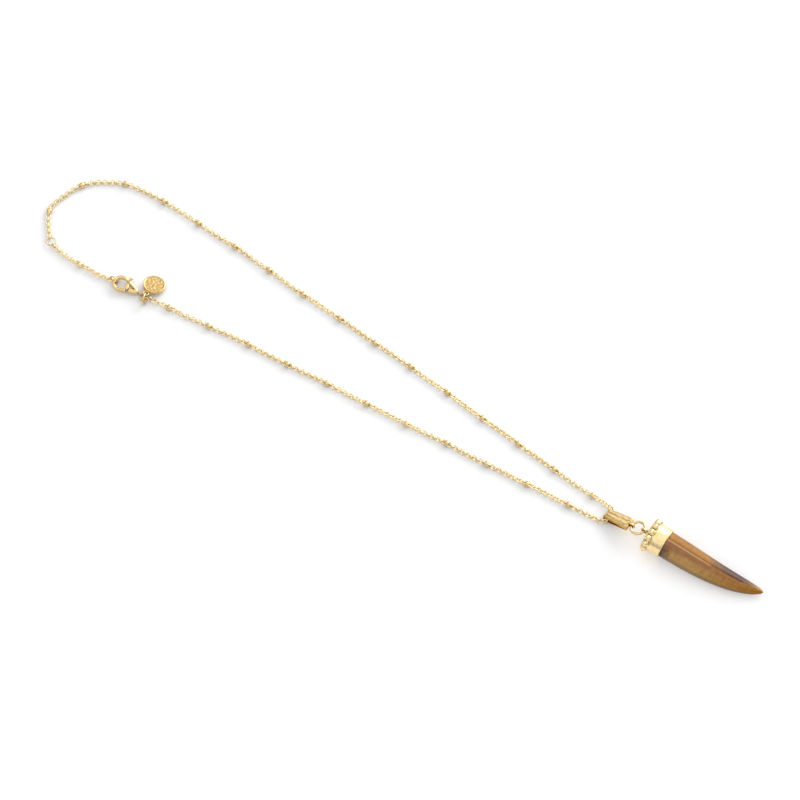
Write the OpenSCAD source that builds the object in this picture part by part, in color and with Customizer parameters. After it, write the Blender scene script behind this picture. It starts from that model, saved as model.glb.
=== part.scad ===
/* [Horn stone] */
// Length of the stone in front of the cap, along its axis
stone_len = 34.5; // [28:0.5:40]
// How far the tip curves to the side
stone_bend = 3.5; // [0:0.1:6]
// How slowly the stone tapers: 0.5 is an ellipse, more is more pointed
stone_taper = 0.54; // [0.45:0.01:0.8]

/* [Cap] */
// Outer width of the smooth collar
collar_d = 9.8; // [8.6:0.1:11]
// Wall of the collar
collar_wall = 0.35; // [0.3:0.05:0.6]
// Length of the collar from the row of granules to its front edge
collar_len = 5.3; // [4:0.1:7]
// Length of the thin band round the collar's front edge
band_len = 0.45; // [0.3:0.05:0.8]
// How far the thin band stands out
band_out = 0.12; // [0.08:0.01:0.2]
// Width of one granule
granule_d = 2.4; // [1.9:0.1:2.6]
// Number of granules round the back edge
granule_count = 14; // [12:1:16]
// How far the domed back plate stands out behind the granules
plate_out = 0.35; // [0.2:0.05:0.8]
// Width across the loop on the back plate
cap_loop_d = 2.7; // [2.5:0.1:3.1]
// Wire of the loop on the back plate
cap_loop_wire = 0.65; // [0.5:0.05:0.7]

/* [Pendant ring] */
// Width across the ring
pendant_ring_d = 5.5; // [5.1:0.1:6.2]
// Wire of the ring
pendant_ring_wire = 0.9; // [0.6:0.05:0.95]
// Slope of the ring from the bail up to the cap
pendant_ring_tilt = 16; // [0:1:30]

/* [Bail] */
// Length from the chain's hole to the small loop at the other end
bail_len = 9.1; // [8:0.1:11]
// Width of the strap at the chain end
bail_w_chain = 3.6; // [3:0.1:4.4]
// Width of the strap at the ring end
bail_w_ring = 4.8; // [4:0.1:5.6]
// Thickness of the strap between its ribs
bail_wall = 0.34; // [0.3:0.02:0.5]
// Height of the long ribs
bail_rib_h = 0.16; // [0.08:0.02:0.24]
// Number of long ribs
bail_ribs = 3; // [3:1:5]
// Width of a groove between two ribs
bail_groove_w = 0.4; // [0.3:0.05:0.5]
// Room round the chain in the bail
bail_room = 0.3; // [0.2:0.05:0.5]
// Width across the small loop at the ring end
bail_loop_d = 2.7; // [2.5:0.1:3.1]
// Wire of the small loop
bail_loop_wire = 0.65; // [0.5:0.05:0.7]
// Slant of the bail to the horn, seen from above
bail_yaw = 3; // [-6:1:6]

/* [Chain] */
// Width across a chain link
link_w = 1.75; // [1.6:0.05:1.9]
// Length of a chain link
link_len = 2.15; // [2.1:0.05:2.3]
// Wire of a chain link
link_wire = 0.34; // [0.28:0.02:0.36]
// Width of a ball on the chain
bead_d = 2.1; // [1.9:0.05:2.4]
// Distance from one ball to the next along the chain
bead_step = 15.1; // [12:0.1:20]
// Width of the tube that stands for a run of links
chain_d = 1.4; // [1.2:0.05:1.5]
// Room round the chain in a ball's hole
bead_room = 0.14; // [0.1:0.01:0.16]

/* [Adjuster and end rings] */
// Width across the adjuster ring
adjuster_d = 3.5; // [3.2:0.1:4]
// Wire of the adjuster ring
adjuster_wire = 0.45; // [0.35:0.05:0.5]
// Width across the ring that the hook holds
end_ring_d = 3.6; // [3.5:0.1:4.2]
// Wire of the ring that the hook holds
end_ring_wire = 0.45; // [0.35:0.05:0.5]

/* [Clasp] */
// Width across the hook
clasp_w = 5.7; // [5.4:0.1:6.2]
// Length from the hook to the tail
clasp_len = 9.7; // [9.2:0.1:10.6]
// Thickness of the clasp
clasp_t = 1.4; // [1.3:0.05:1.5]
// Width of the hook's metal
hook_w = 0.95; // [0.85:0.05:1]
// Thickness of the lever's thin part
lever_t = 0.6; // [0.5:0.05:0.7]
// Width of the lever's gate
gate_w = 1.1; // [0.9:0.05:1.2]
// Width of the thumb knob
knob_d = 1.1; // [0.9:0.05:1.3]
// Width of the lever's pin
pin_d = 0.5; // [0.4:0.05:0.55]
// Width across the tail loop
tail_loop_d = 2; // [1.9:0.1:2.4]
// Wire of the tail loop
tail_loop_wire = 0.4; // [0.35:0.05:0.45]
// Width across the small ring behind the clasp
clasp_ring_d = 3.35; // [3.2:0.05:3.8]
// Wire of the small ring behind the clasp
clasp_ring_wire = 0.45; // [0.35:0.05:0.5]

/* [Tag] */
// Width across the upright ring that holds the tag
tag_ring_d = 4.4; // [4:0.1:4.8]
// Wire of the upright ring
tag_ring_wire = 0.5; // [0.4:0.05:0.55]
// Width of the round tag
tag_d = 7.6; // [6.5:0.1:8.4]
// Thickness of the tag at its rim
tag_t = 1.1; // [0.8:0.05:1.3]
// Width of the tag's raised rim
tag_rim_w = 0.6; // [0.4:0.05:0.9]
// Depth of the face inside the rim
tag_dish = 0.25; // [0.15:0.05:0.35]
// Width across the tag's loop
tag_loop_d = 2.2; // [2:0.1:2.6]
// Wire of the tag's loop
tag_loop_wire = 0.45; // [0.4:0.05:0.5]

/* [Hidden] */

GOLD = [0.89, 0.72, 0.40];
PALE_GOLD = [0.94, 0.80, 0.50];
TIGER_EYE = [0.62, 0.39, 0.17];

// Room between pieces that touch on the real necklace
gap = 0.1;
// Room between a fitted piece and its seat
fit = 0.06;
// Room round the lever's pin
pin_fit = 0.02;
// Height of a resting piece above the table
lie = 0.02;
// How deep a soldered loop sinks into what carries it
solder = 0.2;

// Where the big pieces lie on the table, seen from above
horn_x = 98.5;
horn_y = -1.7;
clasp_x = -102.5;
clasp_y = -16.55;
clasp_yaw = 2.5;
adjuster_x = -128.9;
adjuster_y = -15.7;

// Cap and stone, along the horn's axis from the middle of the granules
granule_r = granule_d / 2;
granule_sink = 0.1;
granule_ring_r = collar_d / 2 - granule_sink;
granule_x = 0.35;
plate_back = granule_x - granule_r - plate_out;
plate_front = granule_x + granule_r + 0.2;
collar_front = collar_len + band_len;
stone_r = collar_d / 2 - collar_wall - fit;
stone_seat = plate_front + gap;

function stone_radius(u) = stone_r * pow(1 - u * u, stone_taper);
function stone_offset(u) = stone_bend * pow(u, 3.4);

// The slope at which a bar of this reach and half thickness comes down to the table from a height
function rest_slope(reach, half, height) =
    asin(height / sqrt(reach * reach + half * half)) - atan(half / reach);

// The horn rests on its lowest granule and on the belly of the stone
horn_z = granule_ring_r * cos(180 / granule_count) + granule_r + lie;
horn_slope = min([for (u = [0:0.05:0.95])
    rest_slope(collar_front + stone_len * u, stone_radius(u), horn_z - lie)]);

// From the cap's loop back through the ring to the bail
function loop_hole(d, wire) = d / 2 - wire;
cap_loop_x = plate_back - cap_loop_d / 2 + solder;
cap_loop_slack = loop_hole(cap_loop_d, cap_loop_wire) - pendant_ring_wire / 2 - gap;
bail_loop_slack = loop_hole(bail_loop_d, bail_loop_wire) - pendant_ring_wire / 2 - gap;
pendant_ring_r = (pendant_ring_d - pendant_ring_wire) / 2;
ring_reach = pendant_ring_r + cap_loop_slack;
cap_loop_at = [horn_x + cap_loop_x * cos(horn_slope), horn_y, horn_z - cap_loop_x * sin(horn_slope)];
pendant_ring_at = cap_loop_at - ring_reach * [cos(pendant_ring_tilt), 0, sin(pendant_ring_tilt)];
bail_loop_at = pendant_ring_at
    - (pendant_ring_r + bail_loop_slack) * [cos(pendant_ring_tilt), 0, sin(pendant_ring_tilt)];
bail_hole_r = chain_d / 2 + bail_room;
bail_leaf_t = bail_wall + bail_rib_h;
bail_out_r = bail_hole_r + bail_leaf_t;
bail_slope = asin((bail_loop_at[2] - bail_out_r - lie) / bail_len);
bail_at = [bail_loop_at[0] - bail_len * cos(bail_slope) * cos(bail_yaw),
           bail_loop_at[1] + bail_len * cos(bail_slope) * sin(bail_yaw),
           bail_out_r + lie];
bail_strap_len = bail_len - bail_loop_d / 2 + solder;

// Clasp, in its own frame: from the tip of the hook along +X to the tail
end_ring_hole_r = end_ring_d / 2 - end_ring_wire;
end_ring_z = end_ring_d / 2 + lie;
clasp_z = 0.72;
clasp_mid = clasp_z + clasp_t / 2;
hook_r = clasp_w / 2;
tail_r = 0.8;
tail_x = clasp_len - tail_r;
pivot = [hook_r + 1.75, 1.9];
gate_angle = -68;
gate_len = 3.4;
gate_from = 1.55;
lever_room = 1.25;
lever_clear = 0.1;
tail_loop_x = clasp_len + tail_loop_d / 2 - 1.5 * solder;
tail_loop_z = tail_loop_d / 2 + lie;

function clasp_point(x, y, z) = [clasp_x + x * cos(clasp_yaw) - y * sin(clasp_yaw),
                                 clasp_y + x * sin(clasp_yaw) + y * cos(clasp_yaw), z];

// The small ring lies level in the tail loop, and the upright ring stands in the small ring
clasp_ring_r = (clasp_ring_d - clasp_ring_wire) / 2;
clasp_ring_low = 0.2;
clasp_ring_slack = sqrt(pow(loop_hole(tail_loop_d, tail_loop_wire) - clasp_ring_wire / 2 - gap, 2)
                        - clasp_ring_low * clasp_ring_low);
clasp_ring_at = clasp_point(tail_loop_x + clasp_ring_slack + clasp_ring_r, 0, tail_loop_z - clasp_ring_low);
tag_ring_r = (tag_ring_d - tag_ring_wire) / 2;
tag_ring_z = tag_ring_d / 2 + lie;
tag_ring_yaw = 18;
tag_ring_side = [-sin(tag_ring_yaw), cos(tag_ring_yaw), 0];
tag_ring_in = clasp_ring_r - clasp_ring_wire / 2 - tag_ring_wire / 2 - 3 * gap;
tag_ring_reach = sqrt(tag_ring_r * tag_ring_r - pow(tag_ring_z - clasp_ring_at[2], 2));
tag_ring_at = [clasp_ring_at[0] + tag_ring_in, clasp_ring_at[1], tag_ring_z] - tag_ring_reach * tag_ring_side;

// The tag hangs on the upright ring's far side and leans down to the table
tag_hang_angle = 105;
tag_hang = tag_ring_at + tag_ring_r * sin(tag_hang_angle) * tag_ring_side
    - [0, 0, tag_ring_r * cos(tag_hang_angle)];
tag_loop_slack = loop_hole(tag_loop_d, tag_loop_wire) - tag_ring_wire / 2 - 2.5 * gap;
tag_centre_y = tag_loop_slack + tag_loop_d / 2 - solder + tag_d / 2;
tag_slope = rest_slope(tag_centre_y + tag_d / 2, tag_t / 2, tag_hang[2] - lie);

// The chain lies on its balls
chain_z = bead_d / 2 + lie;
chain_r = chain_d / 2;

// The run from the adjuster ring round the bend to the bail, seen from above
upper_route = [[-132, -12.8], [-133.5, -11], [-135, -9], [-136.2, -7], [-136.9, -5.2],
    [-137, -3.2], [-136.5, -1], [-135.6, 2.1], [-134.7, 5.2], [-133.4, 7.8], [-131.7, 10], [-129.9, 11.8],
    [-127.1, 13.7], [-124.1, 15.4], [-121, 16.8], [-117.5, 17.45], [-112, 17.9], [-106, 18.1],
    [-99, 17.85], [-90, 17.3], [-82, 16.7], [-74, 16.5],
    [-66, 15.6], [-58, 14.9], [-50, 13.9], [-42, 13.5], [-34, 12.8], [-26, 12.3], [-18, 11.4],
    [-10, 10.9], [-2, 10.2], [6, 9.3], [14, 8.6], [22, 7.6], [30, 6.7], [38, 6], [46, 5], [54, 4.2],
    [62, 3.3], [70, 2.5], [76, 2.2], [79.5, 2]];
// The run from the upright ring to the bail
lower_route = [[-86, -15.6], [-82, -15.1], [-76, -14.7], [-70, -14.1], [-64, -13.5], [-58, -12.8],
    [-52, -12.2], [-46, -12], [-40, -11.7], [-34, -11.3], [-28, -10.8], [-22, -10.3], [-16, -10],
    [-10, -9.8], [-3, -9.3], [4, -8.9], [11, -8.6], [18, -8], [25, -7.4], [32, -7.2], [39, -6.8],
    [46, -6.2], [53, -5.9], [60, -5.3], [67, -5], [73, -4.6], [78, -4.3]];
// The short run of links from the adjuster ring to the hook
extension_route = [[-125.2, -16.9], [-121.4, -17.6], [-117.3, -17.65], [-113.3, -17.5],
    [-109.2, -17.55], [-105.6, -17.2]];
// Where the first ball of each run lies, along its route
upper_first_bead = 10;
lower_first_bead = 7.8;
extension_links_before_bead = 9;
// No ball lies this close to the bail
bail_clear = 5;
ball_link_room = 1;
bead_lip = 0.03;

function on_table(route) = [for (p = route) [p[0], p[1], chain_z]];

// The turn from a strand round the edge of the bail into its hole: side is 1 for the upper strand
function bail_turn(side) =
    let (face = bail_w_chain / 2, out = face + chain_r + 0.25, rise = bail_at[2] - chain_z)
    [for (p = [[-2.2, out + 0.15, 0], [-1, out + 0.1, 0.25], [-0.2, face + 0.5, 0.8], [0, face - 0.4, 1], [0, gap / 2, 1]])
        [bail_at[0] + p[0] + side * p[1] * sin(bail_yaw), bail_at[1] + side * p[1] * cos(bail_yaw),
         chain_z + rise * p[2]]];

// Where the runs start from the rings that carry them
adjuster_r = (adjuster_d - adjuster_wire) / 2;
function adjuster_point(radius, angle) = [adjuster_x + radius * cos(angle), adjuster_y + radius * sin(angle), chain_z];
end_ring_r = (end_ring_d - end_ring_wire) / 2;
end_ring_x = hook_w - sqrt(pow(end_ring_hole_r - gap, 2) - pow(end_ring_z - clasp_z, 2));
end_wire_at = clasp_point(end_ring_x - sqrt(pow(end_ring_r, 2) - pow(end_ring_z - chain_z, 2)), 0, chain_z);
tag_start = [tag_ring_at[0] + 0.75, clasp_ring_at[1] + 0.25, tag_ring_z - 1];
upper_path = concat([adjuster_point(adjuster_d / 2 + 5.5 * gap, 140)], on_table(upper_route), bail_turn(1));
lower_path = concat([tag_start, tag_start + [1.45, -0.1, -0.1]], on_table(lower_route), bail_turn(-1));
extension_path = concat([adjuster_point(adjuster_r, -32)], on_table(extension_route), [end_wire_at]);

function path_lengths(path, i = 0, total = 0) =
    i == len(path) - 1 ? [total]
    : concat([total], path_lengths(path, i + 1, total + norm(path[i + 1] - path[i])));

// The point and direction at a distance along a path
function path_segment(lengths, s, i = 0) =
    i >= len(lengths) - 2 || s < lengths[i + 1] ? i : path_segment(lengths, s, i + 1);
function path_at(path, lengths, s) =
    let (i = path_segment(lengths, s), t = (s - lengths[i]) / (lengths[i + 1] - lengths[i]))
    path[i] + t * (path[i + 1] - path[i]);
function path_direction(path, lengths, s) =
    let (i = path_segment(lengths, s), d = path[i + 1] - path[i]) d / norm(d);

// The direction at a path's own point, half way between its two segments
function unit(v) = v / norm(v);
function point_direction(path, i) =
    let (before = i > 0 ? unit(path[i] - path[i - 1]) : unit(path[1] - path[0]),
         after = i < len(path) - 1 ? unit(path[i + 1] - path[i]) : before)
    unit(before + after);

// A tube of flat sides along a path, closed at both ends
module tube(path, radius, sides = 8) {
    rings = len(path);
    points = [for (i = [0:rings - 1])
        let (d = point_direction(path, i), side = unit(cross([0, 0, 1], d)), up = cross(d, side))
        for (k = [0:sides - 1])
            let (a = 360 * (k + 0.5) / sides) path[i] + radius * (cos(a) * side + sin(a) * up)];
    walls = [for (i = [0:rings - 2], k = [0:sides - 1])
        let (n = (k + 1) % sides)
        [i * sides + k, (i + 1) * sides + k, (i + 1) * sides + n, i * sides + n]];
    start_cap = [for (k = [0:sides - 1]) k];
    end_cap = [for (k = [sides - 1:-1:0]) (rings - 1) * sides + k];
    polyhedron(points, concat([start_cap, end_cap], walls), convexity = 10);
}

// A wire ring that lies level round its middle, with the thin seam of a closed jump ring
module wire_ring(d, wire, seam_angle = 90, seam = 0.05) {
    r = (d - wire) / 2;
    difference() {
        rotate_extrude($fn = 48) translate([r, 0]) circle(d = wire, $fn = 20);
        rotate([0, 0, seam_angle]) translate([r, 0, 0]) cube([2 * wire, seam, 2 * wire], center = true);
    }
}

// A soldered loop with no seam
module loop(d, wire) {
    rotate_extrude($fn = 40) translate([(d - wire) / 2, 0]) circle(d = wire, $fn = 20);
}

// One oval chain link, long along X and flat in XY
module link(length) {
    r = (link_w - link_wire) / 2;
    half = (length - link_w) / 2;
    for (end = [-1, 1])
        translate([end * half, 0, 0]) rotate([0, 0, end * 90 - 180])
            rotate_extrude(angle = 180, $fn = 32) translate([r, 0]) circle(d = link_wire, $fn = 16);
    for (side = [-1, 1])
        translate([-half, side * r, 0]) rotate([0, 90, 0]) cylinder(d = link_wire, h = 2 * half, $fn = 16);
}

module along(point, direction, roll) {
    translate(point)
        rotate([0, -asin(direction[2]), atan2(direction[1], direction[0])])
            rotate([roll, 0, 0]) children();
}

module place_horn() {
    translate([horn_x, horn_y, horn_z]) rotate([0, horn_slope, 0]) children();
}

module place_clasp() {
    translate([clasp_x, clasp_y, 0]) rotate([0, 0, clasp_yaw]) children();
}

// The stone: a bent half ellipsoid whose straight base goes into the collar
module horn_stone() {
    sides = 28;
    steps = 26;
    base = [[stone_seat, stone_r - collar_wall / 2, 0], [stone_seat + collar_wall, stone_r, 0],
            [collar_front, stone_r, 0]];
    taper = [for (i = [1:steps]) let (u = sin(89.2 * i / steps))
        [collar_front + stone_len * u, stone_radius(u), stone_offset(u)]];
    sections = concat(base, taper);
    last = len(sections) - 1;
    points = concat(
        [for (s = sections, k = [0:sides - 1]) let (a = 360 * k / sides)
            [s[0], s[2] + s[1] * cos(a), s[1] * sin(a)]],
        [[collar_front + stone_len, stone_bend, 0]]);
    walls = [for (i = [0:last - 1], k = [0:sides - 1]) let (n = (k + 1) % sides)
        [i * sides + k, (i + 1) * sides + k, (i + 1) * sides + n, i * sides + n]];
    tip = [for (k = [0:sides - 1]) [last * sides + k, len(points) - 1, last * sides + (k + 1) % sides]];
    back = [[for (k = [0:sides - 1]) k]];
    color(TIGER_EYE) place_horn() polyhedron(points, concat(back, walls, tip), convexity = 4);
}

// Collar, front band, row of granules, back plate and loop, soldered into one
module horn_cap() {
    outer = collar_d / 2;
    seat = stone_r + fit;
    color(PALE_GOLD) place_horn() {
        rotate([0, 90, 0]) rotate_extrude($fn = 96)
            polygon([[0, plate_back], [outer * 0.5, plate_back + 0.05], [outer * 0.8, plate_back + 0.4 * plate_out],
                     [outer * 0.9, plate_back + plate_out], [outer - 0.05, granule_x],
                     [outer, plate_front], [outer, collar_len - 0.1], [outer + band_out, collar_len],
                     [outer + band_out, collar_front], [seat, collar_front], [seat, plate_front], [0, plate_front]]);
        for (k = [0:granule_count - 1])
            rotate([360 * (k + 0.5) / granule_count - 90, 0, 0])
                translate([granule_x, granule_ring_r, 0]) sphere(d = granule_d, $fn = 64);
        translate([cap_loop_x, 0, 0]) rotate([90, 0, 0]) loop(cap_loop_d, cap_loop_wire);
    }
}

module pendant_ring() {
    color(GOLD) translate(pendant_ring_at) rotate([0, -pendant_ring_tilt, 0])
        wire_ring(pendant_ring_d, pendant_ring_wire);
}

// The bail from the side, this far inside its outer face
module bail_outline(inset) {
    teardrop(bail_out_r - inset, 0, bail_leaf_t + gap / 2 - inset, bail_strap_len);
}

// Folded ribbed strap with an end bar and a small loop for the ring
module bail() {
    fan = atan((bail_w_ring - bail_w_chain) / 2 / bail_strap_len);
    color(GOLD) translate(bail_at) rotate([0, -bail_slope, -bail_yaw]) {
        difference() {
            intersection() {
                rotate([90, 0, 0]) linear_extrude(2 * bail_w_ring, center = true) difference() {
                    bail_outline(0);
                    teardrop(bail_hole_r, 0, gap / 2, bail_strap_len);
                }
                translate([0, 0, -bail_out_r]) linear_extrude(2 * bail_out_r)
                    polygon([[-2 * bail_out_r, -bail_w_chain / 2], [0, -bail_w_chain / 2],
                             [bail_strap_len, -bail_w_ring / 2], [bail_len, -bail_w_ring / 2],
                             [bail_len, bail_w_ring / 2], [bail_strap_len, bail_w_ring / 2],
                             [0, bail_w_chain / 2], [-2 * bail_out_r, bail_w_chain / 2]]);
            }
            for (k = [1:bail_ribs - 1]) {
                share = 2 * k / bail_ribs - 1;
                translate([0, share * bail_w_chain / 2, 0]) rotate([90, 0, share * fan])
                    linear_extrude(bail_groove_w, center = true) difference() {
                        bail_outline(-1);
                        bail_outline(bail_rib_h);
                    }
            }
        }
        translate([bail_strap_len, 0, 0]) rotate([90, 0, 0])
            cylinder(r = bail_leaf_t + 1.5 * gap, h = bail_w_ring + gap, center = true, $fn = 48);
        translate([bail_len, 0, 0]) rotate([90, 0, 0]) loop(bail_loop_d, bail_loop_wire);
    }
}

module chain_upper() {
    color(GOLD) tube(upper_path, chain_r);
}

module chain_lower() {
    color(GOLD) tube(lower_path, chain_r);
}

// A ball with the chain through it, as flat facets
module bead(sides = 12, arcs = 4) {
    bore = (chain_r + bead_room) / cos(180 / sides);
    reach = acos((bore + bead_lip) / (bead_d / 2));
    outer = [for (k = [0:arcs]) let (a = reach * (2 * k / arcs - 1)) bead_d / 2 * [sin(a), cos(a)]];
    half = outer[arcs][0];
    profile = concat(outer, [[half, bore], [-half, bore]]);
    rings = len(profile);
    points = [for (p = profile, k = [0:sides - 1])
        let (a = 360 * k / sides) [p[0], p[1] * cos(a), p[1] * sin(a)]];
    walls = [for (i = [0:rings - 1], k = [0:sides - 1])
        let (j = (i + 1) % rings, n = (k + 1) % sides)
        [i * sides + k, j * sides + k, j * sides + n, i * sides + n]];
    polyhedron(points, walls, convexity = 4);
}

module bead_row(path, first, last_clear) {
    lengths = path_lengths(path);
    end = lengths[len(lengths) - 1] - last_clear;
    for (s = [first:bead_step:end])
        along(path_at(path, lengths, s), path_direction(path, lengths, s), 0) bead();
}

module chain_beads() {
    color(PALE_GOLD) {
        bead_row(upper_path, upper_first_bead, bail_clear);
        bead_row(lower_path, lower_first_bead, bail_clear);
    }
}

module adjuster_ring() {
    color(GOLD) translate([adjuster_x, adjuster_y, chain_z]) wire_ring(adjuster_d, adjuster_wire, 200);
}

// Interlocking links with one ball, from the adjuster ring's wire to the end ring's wire
module extension_chain() {
    lengths = path_lengths(extension_path);
    ball_link_len = bead_d + 2 * link_wire + ball_link_room;
    near = (link_len - link_wire) / 2 - (link_wire + adjuster_wire) / 2 - gap;
    far = (link_len - link_wire) / 2 - (link_wire + end_ring_wire) / 2 - 2 * gap;
    run = lengths[len(lengths) - 1] - near - far;
    ball_pitch = (link_len + ball_link_len) / 2 - 2 * link_wire - gap;
    steps = ceil((run - 2 * ball_pitch) / (link_len - 2 * link_wire - gap));
    pitch = (run - 2 * ball_pitch) / steps;
    before = extension_links_before_bead;
    count = steps + 3;
    turn = 90 + 90 * ((count + 1) % 2 == 0 ? 1 : 0) / (count - 1);
    color(GOLD)
        for (i = [0:count - 1])
            let (s = near + (i < before ? i * pitch
                             : i == before ? (before - 1) * pitch + ball_pitch
                             : (i - 2) * pitch + 2 * ball_pitch))
            along(path_at(extension_path, lengths, s), path_direction(extension_path, lengths, s), 90 + turn * i) {
                link(i == before ? ball_link_len : link_len);
                if (i == before) sphere(d = bead_d, $fn = 48);
            }
}

// The ring at the chain's end stands upright round the hook
module end_ring() {
    color(GOLD) place_clasp() translate([end_ring_x, 0, end_ring_z]) rotate([90, 0, 0])
        wire_ring(end_ring_d, end_ring_wire, 45);
}

// Straight bar with round ends in XY, made of plain shapes
module bar(from, to, width) {
    d = to - from;
    translate(from) circle(d = width, $fn = 32);
    translate(to) circle(d = width, $fn = 32);
    translate(from) rotate(atan2(d[1], d[0])) translate([0, -width / 2]) square([norm(d), width]);
}

// A disc and a smaller disc joined by their outer tangents
module teardrop(r_big, at_big, r_small, at_small) {
    reach = at_small - at_big;
    a = acos((r_big - r_small) / reach);
    translate([at_big, 0]) circle(r = r_big, $fn = 96);
    translate([at_small, 0]) circle(r = r_small, $fn = 48);
    polygon([[at_big + r_big * cos(a), r_big * sin(a)], [at_small + r_small * cos(a), r_small * sin(a)],
             [at_small + r_small * cos(a), -r_small * sin(a)], [at_big + r_big * cos(a), -r_big * sin(a)]]);
}

// The same outline as one polygon, for the clasp's flat body
function teardrop_points(r_big, at_big, r_small, at_small, big_steps = 44, small_steps = 12) =
    let (a = acos((r_big - r_small) / (at_small - at_big)))
    concat([for (k = [0:big_steps]) let (t = a + (360 - 2 * a) * k / big_steps)
                [at_big + r_big * cos(t), r_big * sin(t)]],
           [for (k = [0:small_steps]) let (t = 2 * a * k / small_steps - a)
                [at_small + r_small * cos(t), r_small * sin(t)]]);

gate_way = [cos(gate_angle), sin(gate_angle)];
gate_end = pivot + (gate_len - gate_w / 2) * gate_way;

module clasp_outline() {
    polygon(teardrop_points(hook_r, hook_r, tail_r, tail_x));
}

// The opening of the hook, with the room that the gate sweeps
module hook_opening() {
    polygon(teardrop_points(hook_r - hook_w, hook_r, 0.3, tail_x - 1));
    intersection() {
        translate(pivot) circle(r = gate_len + lever_clear, $fn = 96);
        translate([hook_r + 0.4, -hook_r + 0.4]) square([gate_end[0] + gate_w / 2 - hook_r, hook_r]);
    }
}

// The solid cheek behind the gate, which the gate closes against
module gate_stop() {
    edge = gate_w / 2 + gap;
    side = [-gate_way[1], gate_way[0]];
    low = pivot + 4.2 * gate_way + edge * side;
    high = pivot + 2.3 * gate_way + edge * side;
    polygon([low, high, [tail_x - 0.6, 0.05], [tail_x, 0.3], [tail_x, -tail_r]]);
}

module clasp_body() {
    mouth_w = 0.7;
    color(GOLD) place_clasp() {
        difference() {
            translate([0, 0, clasp_z]) linear_extrude(clasp_t)
                difference() {
                    union() {
                        difference() {
                            clasp_outline();
                            hook_opening();
                        }
                        intersection() {
                            clasp_outline();
                            gate_stop();
                        }
                    }
                    translate(gate_end) rotate(gate_angle) translate([0, -mouth_w / 2]) square([2, mouth_w]);
                }
            translate([pivot[0], pivot[1], clasp_mid])
                cylinder(r = lever_room, h = lever_t + 2 * fit, center = true, $fn = 64);
            translate([pivot[0], pivot[1], 0])
                cylinder(r = pin_d / 2 + pin_fit, h = clasp_z + 2 * clasp_t, $fn = 32);
        }
        translate([tail_loop_x, 0, tail_loop_z]) rotate([90, 0, 0]) loop(tail_loop_d, tail_loop_wire);
    }
}

// Gate, thin middle and thumb knob in one piece, turning on the pin
module clasp_lever() {
    knob_at = pivot + [0.3, 1.45];
    color(PALE_GOLD) place_clasp()
        difference() {
            union() {
                translate([0, 0, clasp_z + fit]) linear_extrude(clasp_t - 2 * fit)
                    bar(pivot + gate_from * gate_way, gate_end, gate_w);
                translate([0, 0, clasp_mid - lever_t / 2]) linear_extrude(lever_t) {
                    bar(pivot, pivot + gate_from * gate_way, 0.9);
                    bar(pivot, knob_at, 0.7);
                }
                translate([knob_at[0], knob_at[1], clasp_mid]) sphere(d = knob_d, $fn = 32);
            }
            translate([pivot[0], pivot[1], 0])
                cylinder(r = pin_d / 2 + pin_fit, h = clasp_z + 2 * clasp_t, $fn = 32);
        }
}

module clasp_pin() {
    color(GOLD) place_clasp() translate([pivot[0], pivot[1], clasp_z])
        cylinder(d = pin_d, h = clasp_t, $fn = 32);
}

module clasp_ring() {
    color(GOLD) translate(clasp_ring_at) wire_ring(clasp_ring_d, clasp_ring_wire, -60);
}

module tag_ring() {
    color(GOLD) translate(tag_ring_at) rotate([0, 0, tag_ring_yaw]) rotate([90, 0, 90])
        wire_ring(tag_ring_d, tag_ring_wire, 60);
}

// Round tag with a raised rim, a plain dished face and a small loop
module tag_disc() {
    color(PALE_GOLD) translate(tag_hang) rotate([-tag_slope, 0, 0]) {
        translate([0, tag_centre_y, 0]) difference() {
            cylinder(d = tag_d, h = tag_t, center = true, $fn = 96);
            translate([0, 0, tag_t / 2 - tag_dish]) cylinder(d = tag_d - 2 * tag_rim_w, h = tag_t, $fn = 96);
        }
        translate([0, tag_loop_slack, 0]) loop(tag_loop_d, tag_loop_wire);
    }
}

horn_stone();
horn_cap();
pendant_ring();
bail();
chain_upper();
chain_lower();
chain_beads();
adjuster_ring();
extension_chain();
end_ring();
clasp_body();
clasp_lever();
clasp_pin();
clasp_ring();
tag_ring();
tag_disc();
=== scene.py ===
import math
import random

import bpy
import numpy as np
from mathutils import Matrix, Vector, noise


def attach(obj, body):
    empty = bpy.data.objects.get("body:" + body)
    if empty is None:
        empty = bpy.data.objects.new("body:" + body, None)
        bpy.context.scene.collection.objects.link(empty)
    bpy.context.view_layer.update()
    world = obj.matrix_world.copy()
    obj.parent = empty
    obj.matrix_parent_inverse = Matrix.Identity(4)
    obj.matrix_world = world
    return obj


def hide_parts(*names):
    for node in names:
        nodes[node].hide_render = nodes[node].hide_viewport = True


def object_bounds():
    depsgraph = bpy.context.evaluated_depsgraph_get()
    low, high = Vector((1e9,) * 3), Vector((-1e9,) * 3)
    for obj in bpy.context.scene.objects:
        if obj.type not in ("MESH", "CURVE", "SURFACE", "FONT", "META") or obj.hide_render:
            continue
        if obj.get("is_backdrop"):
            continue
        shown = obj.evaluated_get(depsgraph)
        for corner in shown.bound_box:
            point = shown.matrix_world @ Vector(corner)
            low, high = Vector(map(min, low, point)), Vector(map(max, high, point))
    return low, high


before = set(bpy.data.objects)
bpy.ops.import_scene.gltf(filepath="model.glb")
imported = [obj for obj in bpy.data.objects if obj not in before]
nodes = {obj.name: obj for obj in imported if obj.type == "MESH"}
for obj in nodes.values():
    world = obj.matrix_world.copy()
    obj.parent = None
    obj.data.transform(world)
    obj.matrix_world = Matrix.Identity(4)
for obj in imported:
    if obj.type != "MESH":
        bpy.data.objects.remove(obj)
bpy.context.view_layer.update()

MM = 0.001
NECKLACE = "necklace"
scene = bpy.context.scene

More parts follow.
